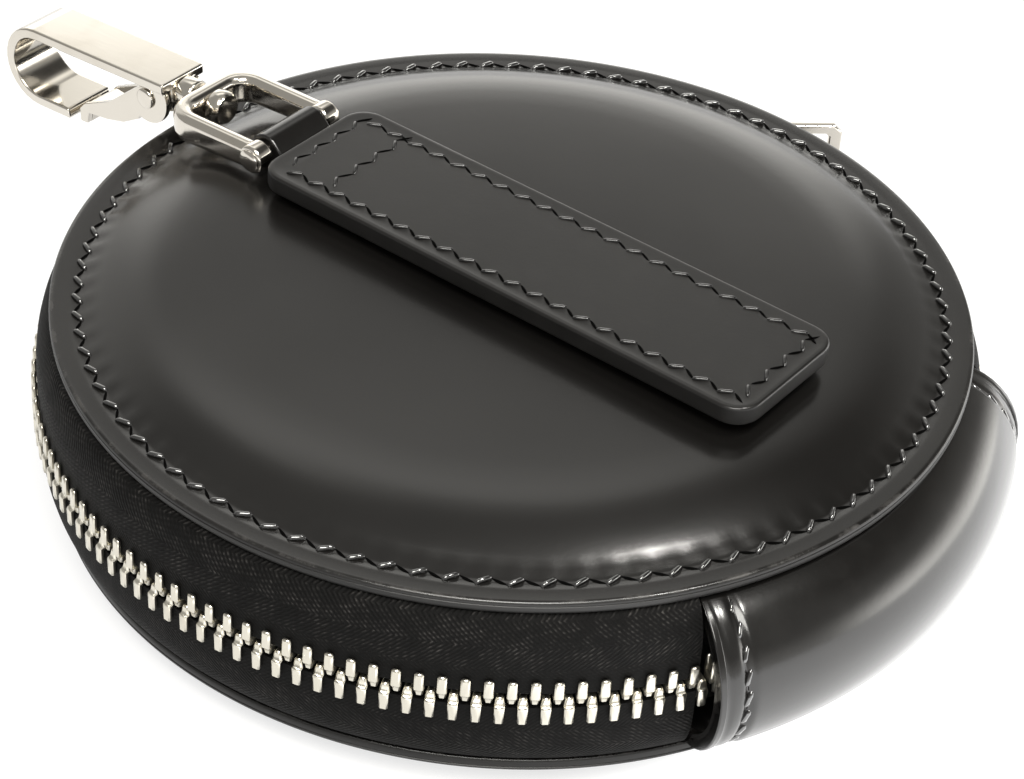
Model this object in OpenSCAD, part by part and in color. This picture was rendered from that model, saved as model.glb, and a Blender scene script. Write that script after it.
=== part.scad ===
// Round zip-around coin purse with a strap, a stirrup and a swivel snap hook.
// Millimetres. The origin is the centre of the bottom's resting face, +Z is up,
// and +X points along the strap to the leather gusset that joins the two halves.

/* [Case] */
// Radius of the two round panels
panel_r = 50; // [48:0.5:52]
// Height between the outer faces of the two flat rims
body_h = 22.6; // [22:0.1:24]
// Thickness of a panel's leather, seen at its painted edge
leather_t = 1.5; // [1.3:0.05:1.6]
// Radius at which a panel starts to rise inside its stitching
dome_r = 46; // [45:0.5:47]
// Width of the round shoulder of a panel
shoulder_w = 12; // [10:0.5:14]
// Height that the shoulder rises
shoulder_h = 3; // [2.5:0.1:3]
// Further rise from the shoulder to the middle
crown_h = 0.4; // [0.2:0.1:0.4]
// Half angle of the gusset, measured from +X
gusset_half_angle = 30.5; // [30.5:0.5:30.5]
// How far the gusset swells past the radius where it is sewn
gusset_bulge = 9.9; // [9.5:0.1:10.5]

/* [Zip] */
// Distance between two teeth of one row, as an angle round the case
tooth_step = 2.5; // [2.5:0.5:3]
// Angle at which the slider stands, measured from +X
slider_angle = 97; // [95:1:100]
// Length of the pull from its pivot to its far end
pull_len = 12.9; // [11:0.1:15]
// Angle of the pull away from the slider's outward direction
pull_angle = -54.5; // [-80:0.5:60]

/* [Strap] */
// Width of the strap
strap_w = 17.8; // [16:0.1:19]
// End of the strap that is sewn down
strap_left_x = -29.6; // [-29.8:0.1:-29]
// Free end of the strap
strap_right_x = 35.5; // [33:0.5:37]
// Place of the cross seam where the sewn end stops
strap_seam_x = -21.5; // [-22:0.1:-21]
// Height of the strap's top face above the rim
strap_top = 7; // [7:0.1:7.4]

/* [Hook] */
// Distance of the stirrup's pin from the middle of the case
pin_x = -32.6; // [-33:0.1:-32.6]
// Height of the stirrup's pin above the rim
pin_rise = 5.6; // [5.6:0.1:5.8]
// Angle by which the stirrup and the hook slope down
droop = 3.5; // [3:0.5:4]
// Outer width of the stirrup
stirrup_w = 13.5; // [13:0.1:14]
// Width of the hook's flat strip
hook_w = 7; // [6.4:0.1:7]

/* [Hidden] */
$fn = 96;

// Heights of the case
dome_h = shoulder_h + crown_h;
top_z = dome_h + body_h;
mid_z = dome_h + body_h / 2;
sewn_z = body_h / 2 - leather_t;
skin_gap = 0.05;
shoulder_power = 2.3;
dome_steps = 24;
bottom_flat_r = 25;
top_flat_r = 12;
filler_r = 44.4;
filler_gap = 0.35;
seam_stack = 1.1;
lining_t = 0.4;
lining_r = 46.3;

// Zip tape: a flange sewn under the rim, then a wall that bulges past it
flange_in_r = 44.8;
tape_t = 0.6;
tape_out_r = 51.6;
tape_bend_r = 49.1;
tape_straight_z = 4.3;
tape_edge_closed = 0.95;
tape_edge_open = 2.25;
tape_steps = 8;
tape_start = 30.8;
tape_end = 360 - tape_start;
tongue_start = 27.5;
tongue_end = 335.5;
lid_tongue_end = 332.4;
tongue_overlap = 0.6;
tongue_inset = 0.05;
open_until = slider_angle + 1.2;

// Teeth: each one grips the tape's edge between two prongs
first_tooth = 36;
tooth_rows = floor(295 / tooth_step) + 1;
tooth_w = 1;
tooth_in_r = 50.3;
tooth_out_r = 52.3;
tooth_head = 0.45;
tooth_top = 2.75;
tooth_web = 0.9;
stop_gap = 0.3;
grip_gap = 0.05;
spread = 1.3;
spread_angle = 5;

// Slider: two plates joined by a wedge, with a bridge for the pull
slider_half_angle = 5.3;
plate_t = 0.8;
plate_in_r = 49;
plate_out_r = 52.8;
slot_half = 0.55;
wide_half = 4.8;
narrow_half = 3.7;
flange_w = 0.7;
wedge_half = 0.6;
wedge_angle = 2.2;
bridge_len = 7.4;
bridge_h = 3.4;
bridge_bar = 1;
bridge_w = 2.4;
pivot_r = 55;
pull_bar_r = 0.6;
pull_w = 9;
pull_t = 1;
pull_side = 1.2;
pull_end = 1.6;

// Gusset
gusset_r = 46.5;
gusset_t = 1;
gusset_edge_t = 2;
gusset_edge_angle = 2.2;
gusset_steps = 12;
gusset_fill = 0.75;
gusset_lining_half = 23.5;

// Strap
strap_t = 2.2;
strap_lining_t = 0.9;
strap_corner = 3;
strap_split = 0.1;
strap_low = strap_top - strap_t;
stud_x = 27;

// Stirrup, pin and loop
stirrup_h = 3.2;
arm_t = 2.2;
bar_t = 2.4;
bar_x = -13.9;
stirrup_corner = 4;
stirrup_pin_r = 0.95;
loop_r = 1.05;
loop_t = 1;
loop_w = 8.4;
loop_tail_low = pin_rise - loop_r - loop_t;
loop_tail_t = 1.2;

// Swivel and hook, measured along the swivel's axis from the stirrup's pin
post_r = 1.3;
post_clearance = 0.08;
hook_end_x = -16.3;
strip_top = 2.1;
strip_t = 1.3;
nose_x = -37.5;
nose_r = 5.1;
lip_x = -32.3;
hub_x = -19.6;
hub_z = -0.8;
hub_r = 3.2;
hub_block_r = 2.2;
hub_block_w = 4.2;
trigger_w = 6;
trigger_slot_w = 4.4;
trigger_web = 0.9;
trigger_swing = 25;
rivet_r = 0.8;
rivet_fit = 0.05;
spring_pocket_r = 1.75;
spring_pocket_w = 1.8;
spring_r = 1.3;
spring_wire = 0.44;
spring_pitch = 0.5;

leather_black = [0.06, 0.055, 0.05];
lining_black = [0.09, 0.09, 0.09];
tape_black = [0.05, 0.05, 0.055];
nickel = [0.82, 0.8, 0.75];

// Rise of a panel at radius r, from 0 on its rim to dome_h in the middle
function shoulder(s) = s <= 0 ? 0 : s >= 1 ? 1 : 1 - pow(1 - s, shoulder_power);
function crown(r, flat_r) = sin(90 * min(1, max(0, (dome_r - r) / (dome_r - flat_r))));
function rise(r, flat_r) = shoulder_h * shoulder((dome_r - r) / shoulder_w) + crown_h * crown(r, flat_r);
function dome_line(from_r, drop, flat_r) =
    [for (i = [0 : dome_steps]) let (r = from_r * (1 - i / dome_steps)) [r, rise(r, flat_r) - drop]];
function reversed(list) = [for (i = [len(list) - 1 : -1 : 0]) list[i]];

// A panel above its rim's underside: flat rim, round shoulder and shallow crown
module panel(flat_r) {
    top = dome_line(dome_r, 0, flat_r);
    under = dome_line(dome_r, leather_t, flat_r);
    rotate_extrude()
        polygon(concat([[panel_r, -leather_t], [panel_r, 0]], top, reversed(under)));
}

// The padding that fills a panel's dome down to its lining
module filler(flat_r) {
    rotate_extrude()
        polygon(concat([[0, -leather_t - seam_stack], [filler_r, -leather_t - seam_stack]],
            dome_line(filler_r, leather_t + filler_gap, flat_r)));
}

module lining_disc() {
    translate([0, 0, -leather_t - seam_stack - skin_gap - lining_t])
        cylinder(h = lining_t, r = lining_r);
}

module on_top() {
    translate([0, 0, top_z])
        children();
}

module on_bottom() {
    translate([0, 0, dome_h])
        mirror([0, 0, 1])
            children();
}

module top_panel() {
    color(leather_black)
        on_top()
            panel(top_flat_r);
}

module top_filler() {
    color("dimgray")
        on_top()
            filler(top_flat_r);
}

module top_lining() {
    color(lining_black)
        on_top()
            lining_disc();
}

module bottom_panel() {
    color(leather_black)
        on_bottom()
            panel(bottom_flat_r);
}

module bottom_filler() {
    color("dimgray")
        on_bottom()
            filler(bottom_flat_r);
}

module bottom_lining() {
    color(lining_black)
        on_bottom()
            lining_disc();
}

// A band swept round the case's axis between two angles
module swept(from_angle, to_angle) {
    translate([0, 0, mid_z])
        rotate([0, 0, from_angle])
            rotate_extrude(angle = to_angle - from_angle)
                children();
}

// Points of the gusset's section: an ellipse that is fuller in its lower half
function gusset_point(t, inset) = [
    gusset_r + (gusset_bulge - inset) * pow(cos(t), t < 0 ? gusset_fill : 1),
    (sewn_z - skin_gap - inset) * sin(t)];
function gusset_arc(inset) = [for (i = [-gusset_steps : gusset_steps])
    gusset_point(90 * i / gusset_steps, inset)];

module gusset_section(inset, thick) {
    outer = gusset_arc(inset);
    inner = reversed(gusset_arc(inset + thick));
    polygon(concat(outer, inner));
}

module sewn_edge_section() {
    for (side = [-1, 1])
        translate([(flange_in_r + gusset_r) / 2, side * (sewn_z - skin_gap - gusset_t / 2)])
            square([gusset_r - flange_in_r + 0.02, gusset_t], center = true);
}

module gusset_leather() {
    color(leather_black)
        union() {
            swept(-gusset_half_angle, gusset_half_angle)
                union() {
                    gusset_section(0, gusset_t);
                    sewn_edge_section();
                }
            for (start = [-gusset_half_angle, gusset_half_angle - gusset_edge_angle])
                swept(start, start + gusset_edge_angle)
                    gusset_section(0, gusset_edge_t);
        }
}

module gusset_lining() {
    color(lining_black)
        swept(-gusset_lining_half, gusset_lining_half)
            gusset_section(gusset_t + skin_gap, lining_t);
}

// Points of the tape's section, from its sewn flange round to its toothed edge
function tape_arc(inset) = [for (i = [0 : tape_steps]) let (t = 90 * (1 - i / tape_steps))
    [tape_bend_r + (tape_out_r - tape_bend_r - inset) * cos(t),
    tape_straight_z + (sewn_z - skin_gap - tape_straight_z - inset) * sin(t)]];

module tape_section(edge) {
    outer = tape_arc(0);
    inner = reversed(tape_arc(tape_t));
    polygon(concat(
        [[flange_in_r, sewn_z - skin_gap]],
        outer,
        [[tape_out_r, edge], [tape_out_r - tape_t, edge]],
        inner,
        [[flange_in_r, sewn_z - skin_gap - tape_t]]));
}

module tape(last_angle) {
    union() {
        difference() {
            swept(tape_start, tape_end)
                tape_section(tape_edge_closed);
            swept(tape_start - 1, open_until)
                translate([tape_bend_r, 0])
                    square([tape_out_r - tape_bend_r + 1, tape_edge_open]);
        }
        swept(tongue_start, tape_start + tongue_overlap)
            tongue_section(tape_edge_open);
        swept(tape_end - tongue_overlap, last_angle)
            tongue_section(tape_edge_closed + tongue_inset);
    }
}

// Narrow end of the tape, tucked under the gusset's edge
module tongue_section(edge) {
    translate([tape_out_r - tape_t + tongue_inset, edge])
        square([tape_t - 2 * tongue_inset, tape_straight_z - edge]);
}

// Turns the upper half of the zip into the lower half
module below_middle() {
    translate([0, 0, 2 * mid_z])
        mirror([0, 0, 1])
            children();
}

module zip_tape_upper() {
    color(tape_black)
        tape(lid_tongue_end);
}

module zip_tape_lower() {
    color(tape_black)
        below_middle()
            tape(tongue_end);
}

// Section of a tooth or a stop: a head, a web and two prongs that hold the tape
module clip_section(head, web, top) {
    slot_in = tape_out_r - tape_t - grip_gap;
    slot_out = tape_out_r + grip_gap;
    polygon([[tooth_in_r, -head], [tooth_out_r, -head], [tooth_out_r, top], [slot_out, top],
        [slot_out, web], [slot_in, web], [slot_in, top], [tooth_in_r, top]]);
}

function opened(a) = spread * min(1, max(0, (slider_angle + 1 - a) / spread_angle));

module tooth(a) {
    rotate([0, 0, a])
        translate([0, tooth_w / 2, mid_z + opened(a)])
            rotate([90, 0, 0])
                linear_extrude(height = tooth_w)
                    clip_section(tooth_head, tooth_web, tooth_top);
}

module tooth_row(shift) {
    for (i = [0 : tooth_rows - 1])
        tooth(first_tooth + shift + i * tooth_step);
}

module zip_teeth_upper() {
    color(nickel)
        tooth_row(0);
}

module zip_teeth_lower() {
    color(nickel)
        below_middle()
            tooth_row(tooth_step / 2);
}

module top_stop() {
    translate([0, 0, spread])
        swept(33.4, 35)
            clip_section(tooth_head, tooth_web, tooth_top);
}

module zip_top_stop_upper() {
    color(nickel)
        top_stop();
}

module zip_top_stop_lower() {
    color(nickel)
        below_middle()
            top_stop();
}

// The bottom stop stays below the middle, clear of the upper tape as the lid opens
module zip_bottom_stop() {
    color(nickel)
        below_middle()
            swept(333.2, 335)
                clip_section(-stop_gap, tooth_web, tooth_top);
}

// Places a piece at the slider, with X outwards and Y round the case
module at_slider() {
    translate([0, 0, mid_z])
        rotate([0, 0, slider_angle])
            children();
}

module slider_sweep(from_angle, to_angle, low_r, high_r, half_w) {
    rotate([0, 0, from_angle])
        rotate_extrude(angle = to_angle - from_angle)
            translate([low_r, -half_w])
                square([high_r - low_r, 2 * half_w]);
}

// Two curved plates with turned edges, wide where the rows part and narrow where they mesh
module slider_plates() {
    a = slider_half_angle;
    slot_r = tape_out_r - tape_t / 2;
    in_r = plate_in_r + plate_t;
    difference() {
        slider_sweep(-a, a, plate_in_r, plate_out_r + plate_t, wide_half);
        for (side = [-1, 1])
            rotate_extrude(angle = a + 1)
                translate([plate_in_r - 1, side * (narrow_half + 1) - 1])
                    square([plate_out_r + plate_t - plate_in_r + 2, 2]);
        slider_sweep(-a - 1, 0.01, in_r, plate_out_r, wide_half - flange_w);
        slider_sweep(0, a + 1, in_r, plate_out_r, narrow_half - flange_w);
        slider_sweep(-a - 1, a + 1, slot_r - slot_half, slot_r + slot_half, wide_half + 1);
    }
}

module slider_bridge() {
    foot = plate_out_r + plate_t / 2;
    top = plate_out_r + plate_t + bridge_h;
    half = bridge_len / 2;
    translate([0, 0, -bridge_w / 2])
        linear_extrude(height = bridge_w)
            difference() {
                polygon([[foot, -half], [top - 1, -half], [top, 1 - half], [top, half - 1],
                    [top - 1, half], [foot, half]]);
                translate([plate_out_r + plate_t, bridge_bar - half])
                    square([bridge_h - bridge_bar, 2 * (half - bridge_bar)]);
            }
}

module slider_body() {
    color(nickel)
        at_slider()
            union() {
                slider_plates();
                rotate([0, 0, -slider_half_angle])
                    rotate_extrude(angle = wedge_angle)
                        translate([plate_in_r, -wedge_half])
                            square([plate_out_r + plate_t - plate_in_r, 2 * wedge_half]);
                slider_bridge();
            }
}

// Open frame that turns on a round bar inside the slider's bridge
module zip_pull() {
    inner_h = pull_w - 2 * pull_side;
    color(nickel)
        at_slider()
            translate([pivot_r, 0, 0])
                rotate([0, 0, pull_angle])
                    union() {
                        cylinder(h = inner_h + 0.2, r = pull_bar_r, center = true);
                        difference() {
                            translate([-pull_bar_r, -pull_t / 2, -pull_w / 2])
                                cube([pull_len + pull_bar_r, pull_t, pull_w]);
                            translate([-1, -1, -inner_h / 2])
                                cube([pull_len + 1 - pull_end, 2, inner_h]);
                        }
                    }
}

// Plan of a piece of strap with rounded corners at one end
module strap_plan(from_x, to_x, rounded_x) {
    other_x = rounded_x == from_x ? to_x : from_x;
    inward = other_x > rounded_x ? 1 : -1;
    half = strap_w / 2;
    union() {
        translate([min(rounded_x + inward * strap_corner, other_x), -half])
            square([abs(other_x - rounded_x) - strap_corner, strap_w]);
        translate([min(rounded_x, rounded_x + inward * (strap_corner + 0.01)), -half + strap_corner])
            square([strap_corner + 0.01, strap_w - 2 * strap_corner]);
        for (side = [-1, 1])
            translate([rounded_x + inward * strap_corner, side * (half - strap_corner)])
                circle(r = strap_corner);
    }
}

module strap_layer(from_x, to_x, rounded_x, low, thick) {
    translate([0, 0, top_z + low])
        linear_extrude(height = thick)
            strap_plan(from_x, to_x, rounded_x);
}

module strap_anchor_outer() {
    color(leather_black)
        strap_layer(strap_left_x, strap_seam_x - strap_split, strap_left_x,
            strap_low + strap_lining_t, strap_t - strap_lining_t);
}

module strap_anchor_lining() {
    color(lining_black)
        strap_layer(strap_left_x, strap_seam_x - strap_split, strap_left_x,
            strap_low, strap_lining_t);
}

module strap_flap_outer() {
    color(leather_black)
        strap_layer(strap_seam_x + strap_split, strap_right_x, strap_right_x,
            strap_low + strap_lining_t, strap_t - strap_lining_t);
}

module strap_flap_lining() {
    color(lining_black)
        strap_layer(strap_seam_x + strap_split, strap_right_x, strap_right_x,
            strap_low, strap_lining_t);
}

// Press stud that keeps the strap's free end down
module stud_post() {
    color(nickel)
        translate([stud_x, 0, top_z])
            union() {
                translate([0, 0, dome_h])
                    cylinder(h = 0.35, r = 4.8);
                translate([0, 0, dome_h])
                    cylinder(h = strap_low - dome_h - 0.1, r = 1.75);
            }
}

module stud_socket() {
    color(nickel)
        translate([stud_x, 0, top_z + dome_h + 0.5])
            difference() {
                cylinder(h = strap_low - dome_h - 0.52, r = 4.2);
                translate([0, 0, -1])
                    cylinder(h = 4, r = 1.85);
            }
}

// Leather tab that is rolled round the stirrup's pin and sewn under the strap
module hook_loop() {
    color(leather_black)
        translate([pin_x, 0, top_z])
            difference() {
                union() {
                    translate([0, loop_w / 2, pin_rise])
                        rotate([90, 0, 0])
                            cylinder(h = loop_w, r = loop_r + loop_t);
                    translate([0, -loop_w / 2, loop_tail_low])
                        cube([strap_seam_x - strap_split - pin_x, loop_w, loop_tail_t]);
                }
                translate([0, loop_w, pin_rise])
                    rotate([90, 0, 0])
                        cylinder(h = 2 * loop_w, r = loop_r);
            }
}

// Places a piece on the hook's axis: origin at the stirrup's pin, -X out along the hook
module at_pin() {
    translate([pin_x, 0, top_z + pin_rise])
        rotate([0, -droop, 0])
            children();
}

// Turns a flat outline in X and Z into a piece of width w across Y
module across(w) {
    translate([0, w / 2, 0])
        rotate([90, 0, 0])
            linear_extrude(height = w)
                children();
}

module stirrup_plan(half, corner, end_x) {
    translate([end_x + corner, -half])
        square([-end_x - corner, 2 * half]);
    translate([end_x, -half + corner])
        square([corner + 0.01, 2 * (half - corner)]);
    for (side = [-1, 1])
        translate([end_x + corner, side * (half - corner)])
            circle(r = corner);
}

module stirrup() {
    half = stirrup_w / 2;
    color(nickel)
        at_pin()
            difference() {
                union() {
                    translate([0, 0, -stirrup_h / 2])
                        linear_extrude(height = stirrup_h)
                            difference() {
                                stirrup_plan(half, stirrup_corner, bar_x);
                                stirrup_plan(half - arm_t, stirrup_corner - arm_t, bar_x + bar_t);
                                translate([0.01, -half])
                                    square([1, 2 * half]);
                            }
                    for (side = [-1, 1])
                        translate([0, side * (half - arm_t / 2), 0])
                            rotate([90, 0, 0])
                                cylinder(h = arm_t, r = stirrup_h / 2, center = true);
                }
                rotate([90, 0, 0])
                    cylinder(h = stirrup_w + 2, r = stirrup_pin_r, center = true);
                translate([bar_x - 1, 0, 0])
                    rotate([0, 90, 0])
                        cylinder(h = bar_t + 2, r = post_r + post_clearance);
            }
}

module stirrup_pin() {
    color(nickel)
        at_pin()
            rotate([90, 0, 0])
                union() {
                    cylinder(h = stirrup_w + 0.2, r = stirrup_pin_r, center = true);
                    for (side = [-1, 1])
                        translate([0, 0, side * (stirrup_w / 2 + 0.2)])
                            cylinder(h = 0.4, r = 1.3, center = true);
                }
}

module swivel_post() {
    color(nickel)
        at_pin()
            rotate([0, 90, 0])
                union() {
                    translate([0, 0, hook_end_x - 1.6])
                        cylinder(h = bar_x + bar_t + 0.5 - hook_end_x + 1.6, r = post_r);
                    translate([0, 0, bar_x + bar_t + 0.1])
                        cylinder(h = 2, r = 2);
                    translate([0, 0, hook_end_x])
                        cylinder(h = bar_x - 0.15 - hook_end_x, r = 1.9);
                }
}

// Outline of the bent strip: top, round nose and lip
module hook_strip_plan() {
    nose_z = strip_top - nose_r;
    union() {
        translate([nose_x - 0.01, strip_top - strip_t])
            square([hook_end_x - nose_x + 0.01, strip_t]);
        difference() {
            translate([nose_x, nose_z])
                circle(r = nose_r);
            translate([nose_x, nose_z])
                circle(r = nose_r - strip_t);
            translate([nose_x, nose_z - 2 * nose_r])
                square(4 * nose_r);
        }
        translate([nose_x - 0.01, nose_z - nose_r])
            square([lip_x - nose_x + 0.01, strip_t]);
    }
}

module hub_block_plan() {
    union() {
        translate([hub_x, hub_z])
            circle(r = hub_block_r);
        translate([hub_x - hub_block_r, hub_z])
            square([hook_end_x - hub_x + hub_block_r, strip_top - strip_t / 2 - hub_z]);
        translate([hub_x, hub_z - 1])
            square([hook_end_x - hub_x, 2]);
    }
}

module hook_body() {
    color(nickel)
        at_pin()
            difference() {
                union() {
                    across(hook_w)
                        hook_strip_plan();
                    across(hub_block_w)
                        hub_block_plan();
                }
                translate([hub_x, 0, hub_z])
                    rotate([90, 0, 0])
                        cylinder(h = hook_w + 2, r = rivet_r, center = true);
                translate([hub_x, 0, hub_z])
                    rotate([90, 0, 0])
                        cylinder(h = spring_pocket_w, r = spring_pocket_r, center = true);
                translate([hook_end_x - 1.6, 0, 0])
                    rotate([0, 90, 0])
                        cylinder(h = 3, r = post_r);
            }
}

module trigger_rivet() {
    color(nickel)
        at_pin()
            translate([hub_x, 0, hub_z])
                rotate([90, 0, 0])
                    union() {
                        cylinder(h = trigger_w + 0.4, r = rivet_r, center = true);
                        for (side = [-1, 1])
                            translate([0, 0, side * (trigger_w / 2 + 0.25)])
                                cylinder(h = 0.3, r = 1.3, center = true);
                    }
}

// Small torsion spring round the rivet, drawn as closed coils
module trigger_spring() {
    color("silver")
        at_pin()
            translate([hub_x, 0, hub_z])
                rotate([90, 0, 0])
                    for (i = [-1 : 1])
                        translate([0, 0, i * spring_pitch])
                            rotate_extrude()
                                translate([spring_r, 0])
                                    circle(d = spring_wire, $fn = 24);
}

// Outline of the sprung lever's curved arm, with a thumb nub near its tip
module lever_plan() {
    polygon([[-21.2, 0.2], [-18, -1], [-18.6, -3], [-20.4, -3.6], [-23.8, -5.6],
        [-26.5, -6.2], [-29.6, -6.5], [-29.9, -8], [-31.1, -8], [-31.1, -6.3],
        [-30.2, -5.4], [-26, -3.6]]);
}

// The lever as a solid bar of width w: its round hub and its arm
module lever_bar(w) {
    union() {
        translate([hub_x, 0, hub_z])
            rotate([90, 0, 0])
                cylinder(h = w, r = hub_r, center = true);
        across(w)
            lever_plan();
    }
}

// Room that the strip leaves below it, less a small gap
module below_strip() {
    translate([hub_x - 30, -trigger_w, -30 + strip_top - strip_t - 0.12])
        cube([60, 2 * trigger_w, 30]);
}

module trigger() {
    slot_half_w = trigger_slot_w / 2;
    color(nickel)
        at_pin()
            difference() {
                intersection() {
                    lever_bar(trigger_w);
                    below_strip();
                    translate([hub_x, 0, hub_z])
                        rotate([0, -trigger_swing, 0])
                            translate([-hub_x, 0, -hub_z])
                                below_strip();
                }
                translate([0, 0, trigger_web])
                    across(trigger_slot_w)
                        lever_plan();
                translate([hub_x, 0, hub_z])
                    rotate([90, 0, 0])
                        cylinder(h = trigger_slot_w, r = hub_block_r + 0.25, center = true);
                translate([hub_x, -slot_half_w, hub_z - hub_r - 1])
                    cube([hub_r + 1, trigger_slot_w, 2 * hub_r + 2]);
                translate([hub_x, 0, hub_z])
                    rotate([90, 0, 0])
                        cylinder(h = trigger_w + 2, r = rivet_r + rivet_fit, center = true);
            }
}

top_panel();
top_filler();
top_lining();
bottom_panel();
bottom_filler();
bottom_lining();
gusset_leather();
gusset_lining();
zip_tape_upper();
zip_tape_lower();
zip_teeth_upper();
zip_teeth_lower();
zip_top_stop_upper();
zip_top_stop_lower();
zip_bottom_stop();
slider_body();
zip_pull();
strap_anchor_outer();
strap_anchor_lining();
strap_flap_outer();
strap_flap_lining();
hook_loop();
stud_post();
stud_socket();
stirrup();
stirrup_pin();
swivel_post();
hook_body();
trigger_rivet();
trigger_spring();
trigger();
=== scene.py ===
# %% [markdown]
# # A round zip purse with a snap hook
# This lesson dresses a small leather purse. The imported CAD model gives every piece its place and
# its size, so nothing here is fitted by eye: a piece goes where the CAD node is. We make the soft
# and rounded pieces again with Blender's own modelling tools, give each one a finish, and tell the
# frame which body it rides on, so that the zip, the lid and the hook still move.

# %% Load the frame
import math
import bpy
from mathutils import Matrix, Vector


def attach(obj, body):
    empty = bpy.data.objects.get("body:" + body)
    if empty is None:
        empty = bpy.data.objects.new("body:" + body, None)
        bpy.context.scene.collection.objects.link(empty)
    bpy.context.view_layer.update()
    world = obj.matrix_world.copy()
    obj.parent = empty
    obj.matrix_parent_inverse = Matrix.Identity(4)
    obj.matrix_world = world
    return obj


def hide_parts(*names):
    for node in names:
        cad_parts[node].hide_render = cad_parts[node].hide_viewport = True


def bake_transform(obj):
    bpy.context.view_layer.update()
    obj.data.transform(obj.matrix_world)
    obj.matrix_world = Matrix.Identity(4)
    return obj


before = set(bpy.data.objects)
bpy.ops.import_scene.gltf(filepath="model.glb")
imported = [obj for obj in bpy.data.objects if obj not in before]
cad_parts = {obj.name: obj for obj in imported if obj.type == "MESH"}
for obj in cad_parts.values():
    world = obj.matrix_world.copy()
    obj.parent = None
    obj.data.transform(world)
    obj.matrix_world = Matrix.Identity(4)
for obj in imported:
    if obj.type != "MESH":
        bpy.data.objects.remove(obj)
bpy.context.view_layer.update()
MM = 0.001

# %% [markdown]
# ## The camera and the light
# A photographer of small goods stands back with a long lens, so that round things stay round. One
# small lamp hangs over the right side and gives the compact bright highlight on the front shoulder.
# A broad box above the camera shows only in steep things: the stitches and the edges.
# The rest of the light is a tent of cards, made at the end of the lesson.

# %% The camera
def camera_at(place, right, up, back, lens):
    """A camera at a place, with its three directions given."""
    data = bpy.data.cameras.new("Camera")
    data.lens = lens
    data.sensor_width = 36
    data.clip_start = 0.01
    data.clip_end = 20
    camera = bpy.data.objects.new("Camera", data)
    bpy.context.scene.collection.objects.link(camera)
    turn = Matrix((right, up, back)).transposed().to_4x4()
    camera.matrix_world = Matrix.Translation(place) @ turn
    bpy.context.scene.camera = camera
    return camera


camera_place = Vector((0.14366, -0.20024, 0.20446))
camera = camera_at(
    camera_place,
    Vector((0.78546, 0.61621, 0.05770)),
    Vector((-0.41560, 0.45606, 0.78695)),
    Vector((0.45861, -0.64210, 0.61432)),
    98.4,
)
print("camera is", round(camera_place.length / MM), "mm from the origin")

# %% The lights and the floor
def soft_box(name, place, size, power, look_at=(0, 0, 0.02), tint=(1, 1, 1)):
    """A square lamp that faces a point."""
    data = bpy.data.lights.new(name, "AREA")
    data.shape = "RECTANGLE"
    data.size, data.size_y = size
    data.energy = power
    data.color = tint
    lamp = bpy.data.objects.new(name, data)
    bpy.context.scene.collection.objects.link(lamp)
    away = Vector(place) - Vector(look_at)
    lamp.matrix_world = Matrix.Translation(place) @ away.to_track_quat("Z", "Y").to_matrix().to_4x4()
    return lamp


WARM = (1.0, 0.98, 0.93)
soft_box("overhead", (0.31, 0.08, 0.76), (0.13, 0.09), 3.3, tint=WARM)
soft_box("front_box", (0.26, -0.35, 0.70), (0.42, 0.32), 7.5, tint=WARM)

# %% [markdown]
# ## Shader sums
# A finish is a sum of simple patterns. Wiring each Math node by hand hides the sum, so this small
# class wraps one output socket and lets us write the sum as plain arithmetic.

# %% The shader class
class Wire:
    """One output socket, which can be added, multiplied and compared like a number."""

    def __init__(self, finish, socket):
        self.finish = finish
        self.socket = socket

    def math(self, operation, *others):
        values = {i: v for i, v in enumerate((self, *others))}
        return self.finish.node("ShaderNodeMath", {"operation": operation}, values)

    def __add__(self, other):
        return self.math("ADD", other)

    def __radd__(self, other):
        return self.math("ADD", other)

    def __sub__(self, other):
        return self.math("SUBTRACT", other)

    def __rsub__(self, other):
        values = {0: other, 1: self}
        return self.finish.node("ShaderNodeMath", {"operation": "SUBTRACT"}, values)

    def __mul__(self, other):
        return self.math("MULTIPLY", other)

    def __rmul__(self, other):
        return self.math("MULTIPLY", other)

    def __truediv__(self, other):
        return self.math("DIVIDE", other)

    def __abs__(self):
        return self.math("ABSOLUTE")

    def sine(self):
        return self.math("SINE")

    def wrapped(self):
        """The part after the decimal point."""
        return self.math("FRACT")

    def ramp(self, low, high):
        """0 below low, 1 above high, and a smooth rise between them."""
        span = {"Value": self, "From Min": low, "From Max": high}
        return self.finish.node("ShaderNodeMapRange", {"interpolation_type": "SMOOTHSTEP"}, span)

    def near(self, middle, half):
        """1 at a value, falling to 0 at half either side of it."""
        return 1 - abs(self - middle).ramp(0, half)


class Board:
    """A node tree whose nodes are made by one method."""

    def __init__(self, tree):
        self.tree = tree

    def node(self, kind, settings, inputs, output=0):
        """Adds a node: its settings first, then the values or links of its sockets."""
        made = self.tree.nodes.new(kind)
        for key, value in settings.items():
            if key == "stops":
                set_stops(made.color_ramp, value)
            else:
                setattr(made, key, value)
        for key, value in inputs.items():
            self.feed(made.inputs[key], value)
        return Wire(self, made.outputs[output])

    def feed(self, socket, value):
        if isinstance(value, Wire):
            self.tree.links.new(value.socket, socket)
        else:
            socket.default_value = value


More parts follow.
